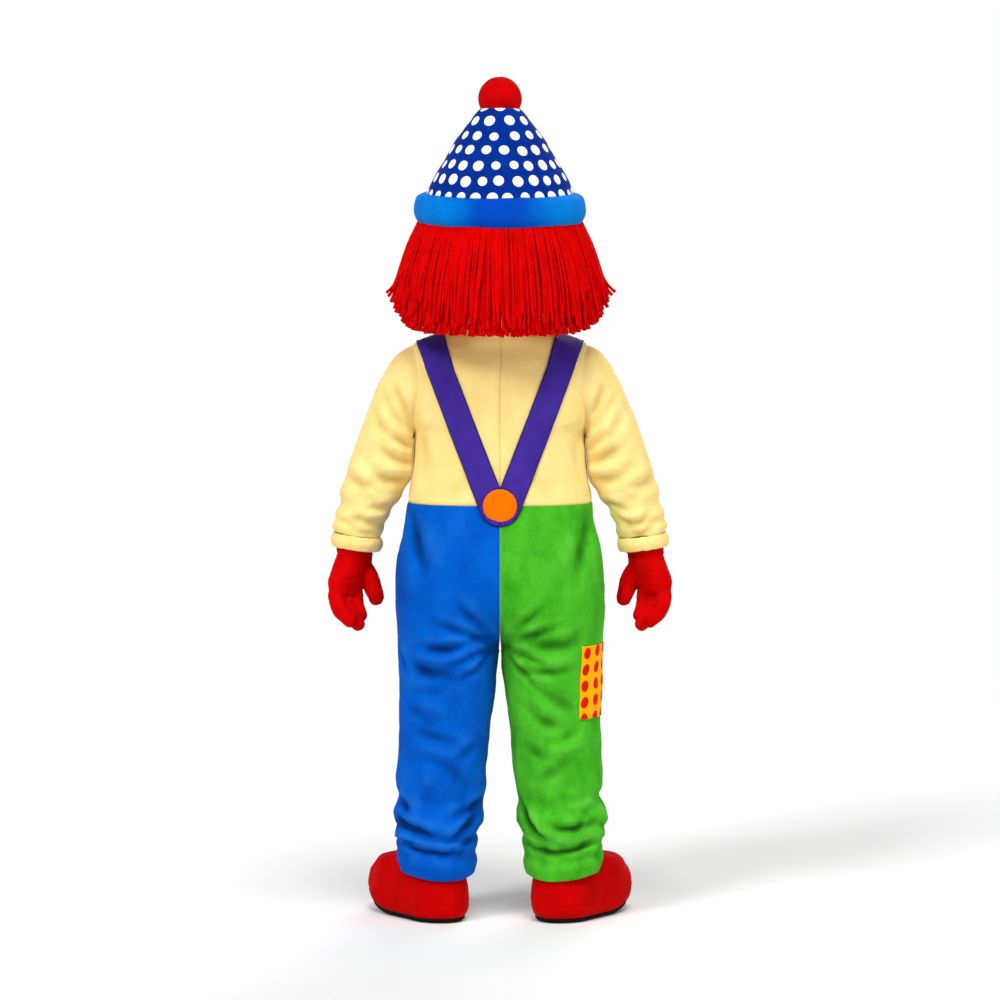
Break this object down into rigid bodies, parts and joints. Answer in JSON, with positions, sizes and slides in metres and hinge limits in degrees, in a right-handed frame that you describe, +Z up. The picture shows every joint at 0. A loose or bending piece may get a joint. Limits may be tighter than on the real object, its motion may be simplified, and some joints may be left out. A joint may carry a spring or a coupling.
{
  "type": "clown mascot costume",
  "caption": "Full-body clown mascot costume, filled out as worn: fleece suit with braces, gloves, big shoes, and a hollow head with yarn hair under a dotted cone hat.",
  "frame": {"origin": "at the neckline, between the tops of the wearer's shoulders, which carry the costume", "axes": "+Z up, +Y the way the wearer faces, +X to the wearer's right"},
  "size_m": [0.861, 0.5141, 2.1068],
  "materials": {
    "top_cloth": "short-pile fleece",
    "blue_cloth": "short-pile fleece",
    "green_cloth": "short-pile fleece",
    "strap_cloth": "smooth woven",
    "button": "smooth satin",
    "patch_cloth": "printed with red dots",
    "glove_cloth": "short-pile fleece",
    "shoe_cloth": "short-pile fleece",
    "sole": "matt",
    "head_cover": "short-pile fleece over foam",
    "eye_white": "smooth",
    "eye_black": "smooth",
    "nose_cloth": "short-pile fleece",
    "mouth_cloth": "smooth",
    "yarn": "twisted yarn",
    "brim_cloth": "short-pile fleece over padding",
    "cone_cloth": "smooth, printed with white dots",
    "pompom_cloth": "plush"
  },
  "bodies": {
    "root": {"top_back_left": "top_cloth", "top_back_right": "top_cloth", "top_front": "top_cloth", "sleeve_left": "top_cloth", "sleeve_right": "top_cloth", "cuff_left": "top_cloth", "cuff_right": "top_cloth", "leg_back_left": "blue_cloth", "leg_front_left": "blue_cloth", "leg_back_right": "green_cloth", "leg_front_right": "green_cloth", "glove_left": "glove_cloth", "glove_right": "glove_cloth", "shoe_left": "shoe_cloth", "shoe_right": "shoe_cloth", "sole_left": "sole", "sole_right": "sole", "strap_left": "strap_cloth", "strap_right": "strap_cloth", "button_front_left": "button", "button_front_right": "button", "button_back": "button", "patch": "patch_cloth", "head_shell": "head_cover", "eye_left": "eye_white", "eye_right": "eye_white", "pupil_left": "eye_black", "pupil_right": "eye_black", "mouth": "mouth_cloth", "nose": "nose_cloth", "hat_brim": "brim_cloth", "hat_cone": "cone_cloth", "pompom": "pompom_cloth", "wig": "yarn"}
  },
  "joints": []
}
